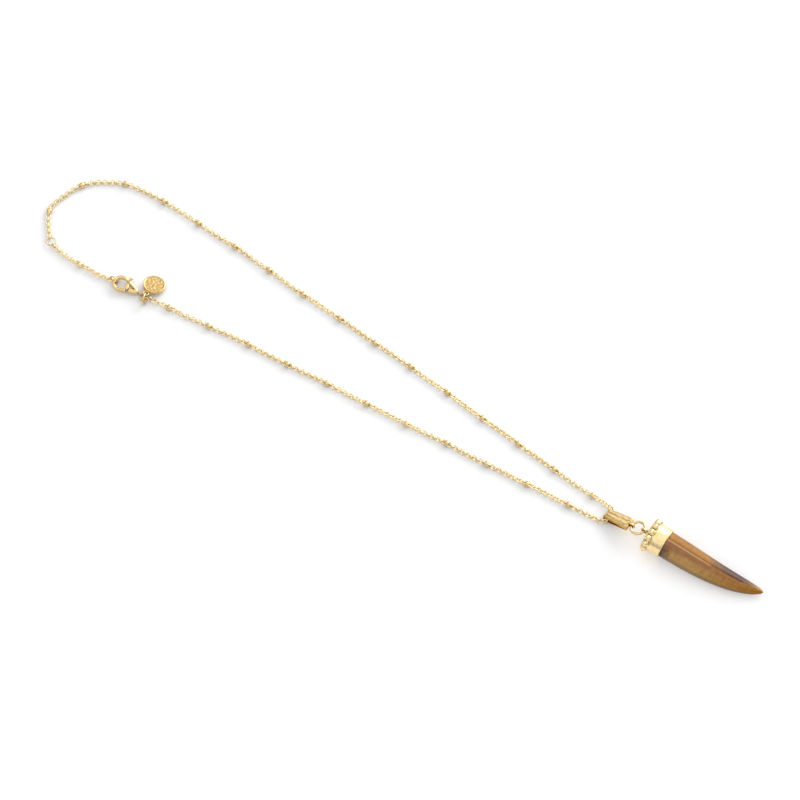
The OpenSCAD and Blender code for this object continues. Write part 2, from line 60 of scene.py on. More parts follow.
# Camera: the photograph's angle, field of view and distance
VIEW_AZIMUTH = 33.0
VIEW_ELEVATION = 62.0
VIEW_DISTANCE = 1138.5
VIEW_TARGET = Vector((2.57, -1.87, 0.0))
IMAGE_PX = 800
FOCAL_PX = 3450
SENSOR_MM = 36.0


def add_camera():
    azimuth = math.radians(VIEW_AZIMUTH)
    elevation = math.radians(VIEW_ELEVATION)
    back = Vector((
        math.sin(azimuth) * math.cos(elevation),
        -math.cos(azimuth) * math.cos(elevation),
        math.sin(elevation),
    ))
    data = bpy.data.cameras.new("camera")
    data.sensor_width = SENSOR_MM
    data.lens = SENSOR_MM * FOCAL_PX / IMAGE_PX
    data.clip_start = 0.05
    data.clip_end = 20.0
    camera = bpy.data.objects.new("camera", data)
    scene.collection.objects.link(camera)
    camera.location = (VIEW_TARGET + back * VIEW_DISTANCE) * MM
    camera.rotation_mode = "QUATERNION"
    camera.rotation_quaternion = (-back).to_track_quat("-Z", "Y")
    scene.camera = camera


add_camera()


# Sizes in mm: the part's, but for a wider link and thicker wire in the links, clasp ring and tag ring
GAP = 0.1
FIT = 0.06
LIE = 0.02
HORN_AT = Vector((98.5, -1.7, 5.9))
HORN_SLOPE = 5.1
STONE_R = 4.49
STONE_SEAT = 1.85
STONE_LEN = 34.5
STONE_BEND = 3.5
STONE_TAPER = 0.54
STONE_CURVE = 3.4
COLLAR_FRONT = 5.75
COLLAR_LEN = 5.3
COLLAR_R = 4.9
BAND_OUT = 0.12
PLATE_BACK = -1.2
PLATE_FRONT = 1.75
GRANULE_R = 1.2
GRANULE_X = 0.35
GRANULES = 14
GRANULE_RING_R = 4.8
CAP_LOOP_X = -2.35
LOOP_D = 2.7
LOOP_WIRE = 0.65
PENDANT_RING_AT = Vector((93.804, -1.7, 5.433))
PENDANT_RING_D = 5.5
PENDANT_RING_WIRE = 0.9
PENDANT_RING_TILT = 16.0
BAIL_AT = Vector((82.956, -1.255, 1.52))
BAIL_SLOPE = 20.84
BAIL_YAW = 3.0
BAIL_LEN = 9.1
BAIL_STRAP = 7.95
BAIL_W_CHAIN = 3.6
BAIL_W_RING = 4.8
BAIL_HOLE_R = 1.0
BAIL_LEAF = 0.5
BAIL_RIBS = 3
FLUTE_DEPTH = 0.5
FLUTE_OUT = 0.04
FLUTE_WAVE = 0.16
FLUTE_ROUND = 0.92
LEAF_INSET = 0.05
LIP_R = 0.62
LIP_FLAT = 0.86
LIP_ROUND = 0.14
LIP_DROP = 0.75
LINK_W = 1.8
LINK_LEN = 2.15
LINK_WIRE = 0.4
BALL_LINK_ROOM = 1.0
BEAD_D = 2.1
BEAD_STEP = 15.1
CHAIN_Z = BEAD_D / 2 + LIE
ADJUSTER_AT = Vector((-128.9, -15.7, CHAIN_Z))
ADJUSTER_D = 3.5
ADJUSTER_WIRE = 0.45
ADJUSTER_R = (ADJUSTER_D - ADJUSTER_WIRE) / 2
END_RING_AT = Vector((-102.144, -16.535, 1.82))
END_RING_D = 3.6
END_RING_WIRE = 0.45
CLASP_YAW = 2.5
CLASP_RING_AT = Vector((-90.473, -16.025, 0.82))
CLASP_RING_D = 3.35
CLASP_RING_WIRE = 0.55
TAG_RING_AT = Vector((-89.378, -17.316, 2.22))
TAG_RING_D = 4.4
TAG_RING_WIRE = 0.65
TAG_RING_YAW = 18.0
TAG_RING_CHAIN_ANGLE = 62.0
TAG_AT = Vector((-89.96, -15.525, 2.725))
TAG_SLOPE = 14.54
TAG_CENTRE_Y = 4.85
TAG_LOOP_Y = 0.15
TAG_D = 7.6
TAG_T = 1.1
TAG_RIM_W = 0.6
TAG_DISH = 0.25
TAG_DENTS = 0.04
TAG_LOOP_D = 2.2
TAG_LOOP_WIRE = 0.45

UPPER_ROUTE = [
    (-130.66, -14.22), (-132, -12.8), (-133.5, -11), (-135, -9), (-136.2, -7), (-136.9, -5.2),
    (-137, -3.2), (-136.5, -1), (-135.6, 2.1), (-134.7, 5.2), (-133.4, 7.8), (-131.7, 10),
    (-129.9, 11.8), (-127.1, 13.7), (-124.1, 15.4), (-121, 16.8), (-117.5, 17.45), (-112, 17.9),
    (-106, 18.1), (-99, 17.85), (-90, 17.3), (-82, 16.7), (-74, 16.5), (-66, 15.6), (-58, 14.9),
    (-50, 13.9), (-42, 13.5), (-34, 12.8), (-26, 12.3), (-18, 11.4), (-10, 10.9), (-2, 10.2),
    (6, 9.3), (14, 8.6), (22, 7.6), (30, 6.7), (38, 6), (46, 5), (54, 4.2), (62, 3.3), (70, 2.5),
    (76, 2.2), (79.5, 2),
]
UPPER_TURN = [(80.91, 1.64, 1.07), (82.1, 1.59, 1.18), (82.88, 1.04, 1.43), (83.03, 0.14, 1.52)]
LOWER_START = [(-88.63, -15.77, 1.22), (-87.18, -15.87, 1.12)]
LOWER_ROUTE = [
    (-86, -15.6), (-82, -15.1), (-76, -14.7), (-70, -14.1), (-64, -13.5), (-58, -12.8),
    (-52, -12.2), (-46, -12), (-40, -11.7), (-34, -11.3), (-28, -10.8), (-22, -10.3), (-16, -10),
    (-10, -9.8), (-3, -9.3), (4, -8.9), (11, -8.6), (18, -8), (25, -7.4), (32, -7.2), (39, -6.8),
    (46, -6.2), (53, -5.9), (60, -5.3), (67, -5), (73, -4.6), (78, -4.3),
]
LOWER_TURN = [(80.61, -4.16, 1.07), (81.81, -4.11, 1.18), (82.64, -3.56, 1.43), (82.88, -2.66, 1.52)]
EXTENSION_ROUTE = [
    (-125.2, -16.9), (-121.4, -17.6), (-117.3, -17.65), (-113.3, -17.5), (-109.2, -17.55), (-105.6, -17.2),
]
END_WIRE_AT = (-103.528, -16.595)
UPPER_EXIT_ANGLE = 140.0
EXTENSION_EXIT_ANGLE = -32.0
BAIL_CLEAR = 5.0
UPPER_FIRST_BEAD = 10.0
LOWER_FIRST_BEAD = 7.8
EXTENSION_LINKS_BEFORE_BEAD = 9


# Meshes
def new_piece(name, verts, faces):
    """A smooth-shaded mesh object from corners in mm."""
    mesh = bpy.data.meshes.new(name)
    mesh.from_pydata([tuple(v) for v in np.asarray(verts) * MM], [], [tuple(f) for f in faces])
    mesh.update()
    mesh.polygons.foreach_set("use_smooth", [True] * len(mesh.polygons))
    piece = bpy.data.objects.new(name, mesh)
    scene.collection.objects.link(piece)
    return piece


def finish_piece(piece, material, *replaced, slot="gold", body=NECKLACE):
    piece.data.materials.append(material)
    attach(piece, body)
    if replaced:
        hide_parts(*replaced)


def join_parts(parts):
    """Several (corners, faces) pairs as one."""
    verts = []
    faces = []
    count = 0
    for part_verts, part_faces in parts:
        verts.append(np.asarray(part_verts, float))
        faces.extend([tuple(i + count for i in f) for f in part_faces])
        count += len(part_verts)
    return np.vstack(verts), faces


def moved(part, matrix):
    verts, faces = part
    m = np.array(matrix)
    return np.asarray(verts) @ m[:3, :3].T + m[:3, 3], faces


def sweep(rings, closed_along=False, caps=True):
    """Corners and faces of a surface through rings with the same number of corners."""
    rings = np.asarray(rings, float)
    n_rings, sides = rings.shape[:2]
    faces = []
    last = n_rings if closed_along else n_rings - 1
    for i in range(last):
        a = i * sides
        b = (i + 1) % n_rings * sides
        for k in range(sides):
            n = (k + 1) % sides
            faces.append((a + k, a + n, b + n, b + k))
    if caps and not closed_along:
        faces.append(tuple(reversed(range(sides))))
        faces.append(tuple(range((n_rings - 1) * sides, n_rings * sides)))
    return rings.reshape(-1, 3), faces


def wire_tube(points, tangents, normals, radius, sides, closed):
    rings = []
    for p, t, n in zip(points, tangents, normals):
        b = np.cross(t, n)
        angles = np.arange(sides) * 2 * math.pi / sides
        rings.append([p + radius * (math.cos(a) * n + math.sin(a) * b) for a in angles])
    return sweep(rings, closed_along=closed)


def ring_part(d, wire, steps=72, sides=14, seam_deg=0.0, seam_at=0.0):
    """A round wire ring in the XY plane, closed or with a thin seam."""
    r = (d - wire) / 2
    if seam_deg:
        angles = np.radians(seam_at + np.linspace(seam_deg / 2, 360 - seam_deg / 2, steps))
    else:
        angles = np.radians(np.arange(steps) * 360 / steps)
    out = np.stack([np.cos(angles), np.sin(angles), 0 * angles], 1)
    along = np.stack([-np.sin(angles), np.cos(angles), 0 * angles], 1)
    return wire_tube(out * r, along, out, wire / 2, sides, not seam_deg)


def link_part(length, width=LINK_W, wire=LINK_WIRE, bow_steps=12, sides=8):
    """One oval link, long along X and flat in XY."""
    r = (width - wire) / 2
    half = (length - width) / 2
    angles = np.radians(np.linspace(-90, 90, bow_steps + 1))
    right = np.stack([half + r * np.cos(angles), r * np.sin(angles), 0 * angles], 1)
    left = np.stack([-half - r * np.cos(angles), -r * np.sin(angles), 0 * angles], 1)
    points = np.vstack([right, left])
    out = np.vstack([
        np.stack([np.cos(angles), np.sin(angles), 0 * angles], 1),
        np.stack([-np.cos(angles), -np.sin(angles), 0 * angles], 1),
    ])
    along = np.stack([-out[:, 1], out[:, 0], out[:, 2]], 1)
    return wire_tube(points, along, out, wire / 2, sides, True)


def ball_part(d, segments=24, rings=14):
    """A ball with its poles on the X axis."""
    verts = [(-d / 2, 0, 0)]
    for i in range(1, rings):
        a = math.pi * i / rings
        for k in range(segments):
            b = 2 * math.pi * k / segments
            level = d / 2 * math.sin(a)
            verts.append((-d / 2 * math.cos(a), level * math.cos(b), level * math.sin(b)))
    verts.append((d / 2, 0, 0))
    faces = []
    for k in range(segments):
        n = (k + 1) % segments
        faces.append((0, 1 + n, 1 + k))
        for i in range(rings - 2):
            a = 1 + i * segments
            b = a + segments
            faces.append((a + k, a + n, b + n, b + k))
        a = 1 + (rings - 2) * segments
        faces.append((a + k, a + n, len(verts) - 1))
    return np.array(verts), faces


# Chain
def in_space(points):
    """Points as an array. Those with no height lie at the chain's."""
    return np.array([tuple(q) if len(q) == 3 else (q[0], q[1], CHAIN_Z) for q in points], float)


def lengths_along(points):
    return np.concatenate([[0], np.cumsum(np.linalg.norm(np.diff(points, axis=0), axis=1))])


class Path:
    """A smooth curve through points, measured along its length."""

    def __init__(self, points, steps=14):
        p = in_space(points)
        ends = np.vstack([2 * p[0] - p[1], p, 2 * p[-1] - p[-2]])
        samples = []
        for i in range(len(p) - 1):
            a, b, c, d = ends[i:i + 4]
            square = 2 * a - 5 * b + 4 * c - d
            cube = 3 * b - a - 3 * c + d
            for k in range(steps):
                t = k / steps
                samples.append(0.5 * (2 * b + (c - a) * t + square * t ** 2 + cube * t ** 3))
        samples.append(p[-1])
        self.samples = np.array(samples)
        self.lengths = lengths_along(self.samples)
        self.total = self.lengths[-1]

    def at(self, s):
        return np.array([np.interp(s, self.lengths, self.samples[:, k]) for k in range(3)])

    def direction(self, s, reach=0.6):
        d = self.at(min(s + reach, self.total)) - self.at(max(s - reach, 0))
        return d / np.linalg.norm(d)

    def nearest(self, point):
        gaps = np.linalg.norm(self.samples - np.asarray(point), axis=1)
        return self.lengths[int(np.argmin(gaps))]


def polyline_points(points, first, step, clear):
    """Points at equal distances along straight segments, where the part has its balls."""
    p = in_space(points)
    lengths = lengths_along(p)
    found = []
    s = first
    while s <= lengths[-1] - clear:
        found.append(np.array([np.interp(s, lengths, p[:, k]) for k in range(3)]))
        s += step
    return found


def link_matrix(path, s, roll, sag=0.0, yaw=0.0):
    d = Vector(path.direction(s))
    frame_matrix = d.to_track_quat("X", "Z").to_matrix()
    turn = Matrix.Rotation(math.radians(yaw), 3, "Z") @ Matrix.Rotation(math.radians(roll), 3, "X")
    m = (frame_matrix @ turn).to_4x4()
    m.translation = Vector(path.at(s)) - Vector((0, 0, sag))
    return m


BALL_LINK_LEN = BEAD_D + 2 * LINK_WIRE + BALL_LINK_ROOM
LINK_PITCH = LINK_LEN - 2 * LINK_WIRE - GAP
BALL_PITCH = (LINK_LEN + BALL_LINK_LEN) / 2 - 2 * LINK_WIRE - GAP
CHAIN_SAG = 0.17
ROLL_DRIFT = 75.0
ROLL_SPAN = 22.0
ROLL_JITTER = 7.0
YAW_JITTER = 4.0
STEADY_END = 12.0
TWIST_LINKS = 10
END_ROLL = 30.0
RAISED_Z = CHAIN_Z + 0.02


def fill_links(start, end, start_reach, end_reach):
    """Where the links lie between two fixed places, kept this far from each."""
    room = end - start - start_reach - end_reach
    count = max(1, round(room / LINK_PITCH))
    return [start + start_reach + room * i / count for i in range(count + 1)]


def chain_places(path, balls, near, far):
    """Each link's distance along the path, and whether it carries a ball."""
    places = []
    previous = 0.0
    reach = near
    for ball in balls:
        places += [(s, False) for s in fill_links(previous, ball, reach, BALL_PITCH)]
        places.append((ball, True))
        previous = ball
        reach = BALL_PITCH
    places += [(s, False) for s in fill_links(previous, path.total, reach, far)]
    return places


def adjuster_wire_point(degrees):
    """A point on the middle of the adjuster ring's wire."""
    angle = math.radians(degrees)
    return ADJUSTER_AT.x + ADJUSTER_R * math.cos(angle), ADJUSTER_AT.y + ADJUSTER_R * math.sin(angle)


random.seed(7)
end_reach = (LINK_LEN - LINK_WIRE) / 2
near_adjuster = end_reach - (LINK_WIRE + ADJUSTER_WIRE) / 2 - GAP
near_tag_ring = end_reach - (LINK_WIRE + TAG_RING_WIRE) / 2 - GAP
near_end_ring = end_reach - (LINK_WIRE + END_RING_WIRE) / 2 - 2 * GAP
tag_ring_r = (TAG_RING_D - TAG_RING_WIRE) / 2
tag_ring_side = Vector((-math.sin(math.radians(TAG_RING_YAW)), math.cos(math.radians(TAG_RING_YAW)), 0))
tag_wire_angle = math.radians(TAG_RING_CHAIN_ANGLE)
tag_wire_at = TAG_RING_AT + tag_ring_r * (
    math.sin(tag_wire_angle) * tag_ring_side - math.cos(tag_wire_angle) * Vector((0, 0, 1))
)
bail_mid = (BAIL_AT.x, BAIL_AT.y, BAIL_AT.z)
loop_path = Path(
    [adjuster_wire_point(UPPER_EXIT_ANGLE)] + UPPER_ROUTE + UPPER_TURN + [bail_mid]
    + LOWER_TURN[::-1] + LOWER_ROUTE[::-1] + LOWER_START[-1:] + [tuple(tag_wire_at)]
)
upper_line = UPPER_ROUTE + UPPER_TURN + [bail_mid]
lower_line = LOWER_START + LOWER_ROUTE + LOWER_TURN + [bail_mid]
upper_balls = polyline_points(upper_line, UPPER_FIRST_BEAD, BEAD_STEP, BAIL_CLEAR)
lower_balls = polyline_points(lower_line, LOWER_FIRST_BEAD, BEAD_STEP, BAIL_CLEAR)
ball_lengths = sorted(loop_path.nearest(b) for b in upper_balls + lower_balls)
bail_length = loop_path.nearest(bail_mid)
places = chain_places(loop_path, ball_lengths, near_adjuster, near_tag_ring)

link = link_part(LINK_LEN)
ball_link = link_part(BALL_LINK_LEN)
ball = ball_part(BEAD_D)
last_roll = 90 + 90 * (len(places) - 1)
extra_turn = (END_ROLL - last_roll + 90) % 180 - 90
parts = {"upper": [], "lower": [], "balls": []}
between = [0.0] + ball_lengths + [loop_path.total]
for i, (s, has_ball) in enumerate(places):
    late = max(0, i - (len(places) - 1 - TWIST_LINKS)) / TWIST_LINKS
    free = min(1, s / STEADY_END, (loop_path.total - s) / STEADY_END)
    drift = ROLL_DRIFT * free * noise.noise(Vector((s / ROLL_SPAN, 2.5, 0)))
    roll = 90 + 90 * i + extra_turn * late + drift + random.uniform(-ROLL_JITTER, ROLL_JITTER)
    k = np.searchsorted(between, s, side="right") - 1
    k = min(k, len(between) - 2)
    share = (s - between[k]) / (between[k + 1] - between[k])
    high = loop_path.at(s)[2] > RAISED_Z
    near_end = s < between[1] or s > between[-2]
    sag = 0 if high or near_end else CHAIN_SAG * math.sin(math.pi * share) ** 0.7
    run = "upper" if s < bail_length else "lower"
    yaw = random.uniform(-YAW_JITTER, YAW_JITTER) * (not has_ball)
    matrix = link_matrix(loop_path, s, roll, sag, yaw)
    parts[run].append(moved(ball_link if has_ball else link, matrix))
    if has_ball:
        parts["balls"].append(moved(ball, matrix))
links_upper = new_piece("links_upper", *join_parts(parts["upper"]))
links_lower = new_piece("links_lower", *join_parts(parts["lower"]))
chain_balls = new_piece("chain_balls", *join_parts(parts["balls"]))

extension_path = Path([adjuster_wire_point(EXTENSION_EXIT_ANGLE)] + EXTENSION_ROUTE + [END_WIRE_AT])
run_length = extension_path.total - near_adjuster - near_end_ring
link_steps = math.ceil((run_length - 2 * BALL_PITCH) / LINK_PITCH)
ext_pitch = (run_length - 2 * BALL_PITCH) / link_steps
ext_parts = []
before = EXTENSION_LINKS_BEFORE_BEAD
turn = 90 + (90 / (link_steps + 2) if (link_steps + 3) % 2 else 0)
for i in range(link_steps + 3):
    if i < before:
        s = near_adjuster + i * ext_pitch
    elif i == before:
        s = near_adjuster + (before - 1) * ext_pitch + BALL_PITCH
    else:
        s = near_adjuster + (i - 2) * ext_pitch + 2 * BALL_PITCH
    matrix = link_matrix(extension_path, s, 90 + turn * i)
    ext_parts.append(moved(ball_link if i == before else link, matrix))
    if i == before:
        ext_parts.append(moved(ball, matrix))
extension_links = new_piece("extension_links", *join_parts(ext_parts))


# Rings
SEAM_DEG = 1.6


def placed_ring(name, at, rotation, d, wire, seam_at):
    part = ring_part(d, wire, seam_deg=SEAM_DEG, seam_at=seam_at)
    return new_piece(name, *moved(part, Matrix.Translation(at) @ rotation))


def rotation_deg(angle, axis):
    return Matrix.Rotation(math.radians(angle), 4, axis)


flat = Matrix.Identity(4)
upright = rotation_deg(90, "X")
end_turn = rotation_deg(CLASP_YAW, "Z") @ upright
tag_turn = rotation_deg(TAG_RING_YAW, "Z") @ (rotation_deg(90, "Z") @ upright)
pendant_turn = rotation_deg(-PENDANT_RING_TILT, "Y")
ring_pieces = {
    "adjuster_ring": placed_ring("adjuster_wire", ADJUSTER_AT, flat, ADJUSTER_D, ADJUSTER_WIRE, 200),
    "end_ring": placed_ring("end_wire", END_RING_AT, end_turn, END_RING_D, END_RING_WIRE, 45),
    "clasp_ring": placed_ring("clasp_wire", CLASP_RING_AT, flat, CLASP_RING_D, CLASP_RING_WIRE, -60),
    "tag_ring": placed_ring("tag_wire", TAG_RING_AT, tag_turn, TAG_RING_D, TAG_RING_WIRE, 60),
    "pendant_ring": placed_ring(
        "pendant_wire", PENDANT_RING_AT, pendant_turn, PENDANT_RING_D, PENDANT_RING_WIRE, 90),
}


# Stone
def stone_radius(u):
    return STONE_R * (1 - u * u) ** STONE_TAPER


def make_stone():
    sides = 72
    steps = 70
    last_angle = 89.4
    seat = [
        (STONE_SEAT, STONE_R - 0.2), (STONE_SEAT + 0.35, STONE_R), (3.6, STONE_R), (COLLAR_FRONT, STONE_R),
    ]
    rings = [(x, r, 0.0) for x, r in seat]
    for i in range(1, steps + 1):
        u = math.sin(math.radians(last_angle * i / steps))
        rings.append((COLLAR_FRONT + STONE_LEN * u, stone_radius(u), STONE_BEND * u ** STONE_CURVE))
    angles = np.arange(sides) * 2 * math.pi / sides
    loops = [[(x, y + r * math.cos(a), r * math.sin(a)) for a in angles] for x, r, y in rings]
    verts, faces = sweep(loops, caps=False)
    verts = np.vstack([verts, [(COLLAR_FRONT + STONE_LEN, STONE_BEND, 0)]])
    tip = len(verts) - 1
    last = (len(loops) - 1) * sides
    faces += [(last + k, last + (k + 1) % sides, tip) for k in range(sides)]
    faces.append(tuple(reversed(range(sides))))
    return new_piece("stone_polished", verts, faces)


horn_matrix = Matrix.Translation(HORN_AT * MM) @ rotation_deg(HORN_SLOPE, "Y")
stone = make_stone()
stone.matrix_world = horn_matrix


# Cap
def lathe(profile, sides=96):
    """A surface of revolution about X from (x, radius) pairs."""
    angles = np.arange(sides) * 2 * math.pi / sides
    loops = [[(x, r * math.cos(a), r * math.sin(a)) for a in angles] for x, r in profile]
    return sweep(loops)


def granule(seed, radius):
    """A melted little ball, a bit uneven."""
    verts, faces = ball_part(2 * radius, 20, 12)
    offset = Vector((seed * 3.1, seed * 1.7, 0))
    out = []
    for v in verts:
        d = Vector(v).normalized()
        out.append(np.array(v) * (1 + 0.10 * noise.noise(d * 1.3 + offset)))
    return np.array(out), faces


def make_cap():
    rnd = random.Random(11)
    seat = STONE_R + FIT
    edge = COLLAR_R + BAND_OUT
    profile = [
        (PLATE_BACK, 0.01), (PLATE_BACK + 0.02, 1.4), (PLATE_BACK + 0.1, 2.6), (PLATE_BACK + 0.3, 3.8),
        (GRANULE_X - GRANULE_R + 0.05, 4.4), (GRANULE_X, COLLAR_R - 0.05), (1.3, COLLAR_R - 0.04),
        (1.7, COLLAR_R - 0.10), (2.6, COLLAR_R - 0.05), (3.8, COLLAR_R - 0.02), (COLLAR_LEN - 0.25, COLLAR_R),
        (COLLAR_LEN - 0.08, COLLAR_R + 0.02), (COLLAR_LEN, edge - 0.02), (COLLAR_LEN + 0.08, edge),
        (COLLAR_FRONT - 0.3, edge), (COLLAR_FRONT - 0.17, edge - 0.04), (COLLAR_FRONT - 0.07, edge - 0.12),
        (COLLAR_FRONT, edge - 0.24),
        (COLLAR_FRONT, seat + 0.05), (COLLAR_FRONT - 0.05, seat), (PLATE_FRONT, seat), (PLATE_FRONT, 0.01),
    ]
    made = [lathe(profile)]
    for k in range(GRANULES):
        angle = 360 * (k + 0.5) / GRANULES - 90
        size = GRANULE_R * rnd.uniform(0.94, 1.02)
        shift = Vector((GRANULE_X + rnd.uniform(-0.1, 0.1), GRANULE_RING_R + rnd.uniform(-0.08, 0.06), 0))
        at = Matrix.Translation(shift) @ rotation_deg(rnd.uniform(0, 360), "X")
        made.append(moved(granule(k + 1, size), rotation_deg(angle + rnd.uniform(-1.5, 1.5), "X") @ at))
    loop_at = Matrix.Translation((CAP_LOOP_X, 0, 0)) @ rotation_deg(90, "X")
    made.append(moved(ring_part(LOOP_D, LOOP_WIRE, 48, 12), loop_at))
    return new_piece("cap_cast", *join_parts(made))


cap = make_cap()
cap.matrix_world = horn_matrix


# Bail
def bail_line(steps_leaf=16, steps_turn=36):
    """Middle line of the strap in XZ, with its outward normals."""
    r = BAIL_HOLE_R + BAIL_LEAF / 2
    end = np.array([BAIL_STRAP, BAIL_LEAF / 2 + GAP / 2])
    lean = math.atan2(end[1], end[0]) + math.acos(r / np.linalg.norm(end))
    touch = r * np.array([math.cos(lean), math.sin(lean)])
    points = [(1 - t) * end + t * touch for t in np.arange(steps_leaf) / steps_leaf]
    for i in range(steps_turn + 1):
        a = lean + (2 * math.pi - 2 * lean) * i / steps_turn
        points.append(r * np.array([math.cos(a), math.sin(a)]))
    low_touch = touch * [1, -1]
    low_end = end * [1, -1]
    points += [(1 - t) * low_touch + t * low_end for t in np.arange(1, steps_leaf + 1) / steps_leaf]
    points = np.array(points)
    ahead = np.vstack([points[1:], points[-1:]]) - np.vstack([points[:1], points[:-1]])
    ahead /= np.linalg.norm(ahead, axis=1)[:, None]
    return points, np.stack([ahead[:, 1], -ahead[:, 0]], 1)


def bail_lip(steps=24, sides=20):
    """The rolled bar across the strap's ring end."""
    angles = np.arange(sides) * 2 * math.pi / sides
    rings = []
    for k in range(steps + 1):
        y = -1 + 2 * k / steps
        r = LIP_R * math.sqrt(max(0.0, 1 - max(0, abs(y) - LIP_FLAT) ** 2 / LIP_ROUND ** 2 * LIP_DROP))
        y *= (BAIL_W_RING + GAP) / 2
        rings.append([(BAIL_STRAP + r * math.cos(a), y, r * math.sin(a)) for a in angles])
    return sweep(rings)


def make_bail():
    points, outward = bail_line()
    across = 48
    rings = []
    for p, n in zip(points, outward):
        share = max(p[0], 0) / BAIL_STRAP
        half = BAIL_W_CHAIN / 2 + (BAIL_W_RING - BAIL_W_CHAIN) / 2 * share
        ring = []
        for k in range(across + 1):
            w = -1 + 2 * k / across
            wave = FLUTE_WAVE * (1 - w * w) * noise.noise(Vector((p[0] * 0.5, 0, 4 + n[1])))
            t = ((w + wave + 1) / 2 * BAIL_RIBS) % 1 * 2 - 1
            off = BAIL_LEAF / 2 + FLUTE_OUT - FLUTE_DEPTH * (1 - math.sqrt(1 - FLUTE_ROUND * t * t))
            ring.append((p[0] + n[0] * off, half * w, p[1] + n[1] * off))
        off = -BAIL_LEAF / 2 + LEAF_INSET
        for k in range(across + 1):
            w = 1 - 2 * k / across
            ring.append((p[0] + n[0] * off, half * w, p[1] + n[1] * off))
        rings.append(ring)
    made = [sweep(rings), bail_lip()]
    loop_at = Matrix.Translation((BAIL_LEN, 0, 0)) @ rotation_deg(90, "X")
    made.append(moved(ring_part(LOOP_D, LOOP_WIRE, 48, 12), loop_at))
    turned = rotation_deg(-BAIL_YAW, "Z") @ rotation_deg(-BAIL_SLOPE, "Y")
    return new_piece("bail_strap", *moved(join_parts(made), Matrix.Translation(BAIL_AT) @ turned))


bail = make_bail()


# Tag
def make_tag():
    """Round tag with a rolled rim and a hammered face."""
    radius = TAG_D / 2
    face_r = radius - TAG_RIM_W
    top = TAG_T / 2
    profile = [
        (0.0, top - TAG_DISH), (face_r, top - TAG_DISH), (face_r + 0.08, top - TAG_DISH + 0.05),
        (face_r + 0.14, top - 0.06), (face_r + 0.24, top), (radius - 0.2, top), (radius - 0.06, top - 0.07),
        (radius, top - 0.22), (radius, -top + 0.22), (radius - 0.06, -top + 0.07), (radius - 0.2, -top),
        (0.0, -top),
    ]
    sides = 96
    angles = np.arange(sides) * 2 * math.pi / sides
    loops = []
    for (r0, z0), (r1, z1) in zip(profile[:-1], profile[1:]):
        steps = 22 if abs(r1 - r0) > 1.5 else 2
        for i in range(steps):
            t = i / steps
            loops.append((r0 + (r1 - r0) * t, z0 + (z1 - z0) * t))
    loops.append(profile[-1])
    rings = []
    for r, z in loops:
        r = max(r, 0.01)
        ring = []
        for a in angles:
            x, y = r * math.cos(a), r * math.sin(a)
            inside = min(1.0, max(0.0, (face_r - r) / 0.3))
            dent = noise.noise(Vector((x * 1.3, y * 1.3, 3.0 + (z < 0) * 7)))
            ring.append((x, y, z + TAG_DENTS * inside * dent))
        rings.append(ring)
    disc = moved(sweep(rings), Matrix.Translation((0, TAG_CENTRE_Y, 0)))
    loop = moved(ring_part(TAG_LOOP_D, TAG_LOOP_WIRE, 48, 12), Matrix.Translation((0, TAG_LOOP_Y, 0)))
    placed = Matrix.Translation(TAG_AT) @ rotation_deg(-TAG_SLOPE, "X")
    return new_piece("tag_plate", *moved(join_parts([disc, loop]), placed))


tag = make_tag()


# Clasp
def rounded_copy(name, node, voxel, growth, rounds):
    """The node's own shape, grown a little and with its sharp edges worn round."""
    mesh = nodes[node].data.copy()
    piece = bpy.data.objects.new(name, mesh)
    scene.collection.objects.link(piece)
    remesh = piece.modifiers.new("remesh", "REMESH")
    remesh.mode = "VOXEL"
    remesh.voxel_size = voxel * MM
    grow = piece.modifiers.new("grow", "DISPLACE")
    grow.strength = growth * MM
    grow.mid_level = 0.0
    smooth = piece.modifiers.new("smooth", "SMOOTH")
    smooth.factor = 0.5
    smooth.iterations = rounds
    bpy.context.view_layer.update()
    evaluated = piece.evaluated_get(bpy.context.evaluated_depsgraph_get())
    made = bpy.data.meshes.new_from_object(evaluated)
    piece.modifiers.clear()
    piece.data = made
    piece.data.name = name
    made.materials.clear()
    made.polygons.foreach_set("use_smooth", [True] * len(made.polygons))
    return piece


clasp_hook = rounded_copy("clasp_hook", "clasp_body", voxel=0.06, growth=0.1, rounds=220)
clasp_gate = rounded_copy("clasp_gate", "clasp_lever", voxel=0.05, growth=0.05, rounds=60)


# Materials
IN_MM = (1000, 1000, 1000)


def new_material(name):
    material = bpy.data.materials.new(name)
    material.use_nodes = True
    tree = material.node_tree
    shader = tree.nodes["Principled BSDF"]
    return material, tree, shader


def add_node(tree, kind, **inputs):
    node = tree.nodes.new(kind)
    for key, value in inputs.items():
        node.inputs[key].default_value = value
    return node


def ramp(tree, source, stops, mode="LINEAR"):
    node = tree.nodes.new("ShaderNodeValToRGB")
    node.color_ramp.interpolation = mode
    elements = node.color_ramp.elements
    while len(elements) > 1:
        elements.remove(elements[-1])
    elements[0].position = stops[0][0]
    elements[0].color = (*stops[0][1], 1)
    for at, colour in stops[1:]:
        elements.new(at).color = (*colour, 1)
    tree.links.new(source, node.inputs["Fac"])
    return node.outputs["Color"]


def coordinates(tree, scale):
    source = tree.nodes.new("ShaderNodeTexCoord")
    mapping = tree.nodes.new("ShaderNodeMapping")
    mapping.inputs["Scale"].default_value = scale
    tree.links.new(source.outputs["Object"], mapping.inputs["Vector"])
    return mapping.outputs["Vector"]


def noise_texture(tree, vector, scale, detail=3.0, roughness=0.5):
    node = add_node(tree, "ShaderNodeTexNoise", Scale=scale, Detail=detail, Roughness=roughness)
    tree.links.new(vector, node.inputs["Vector"])
    return node.outputs["Fac"]


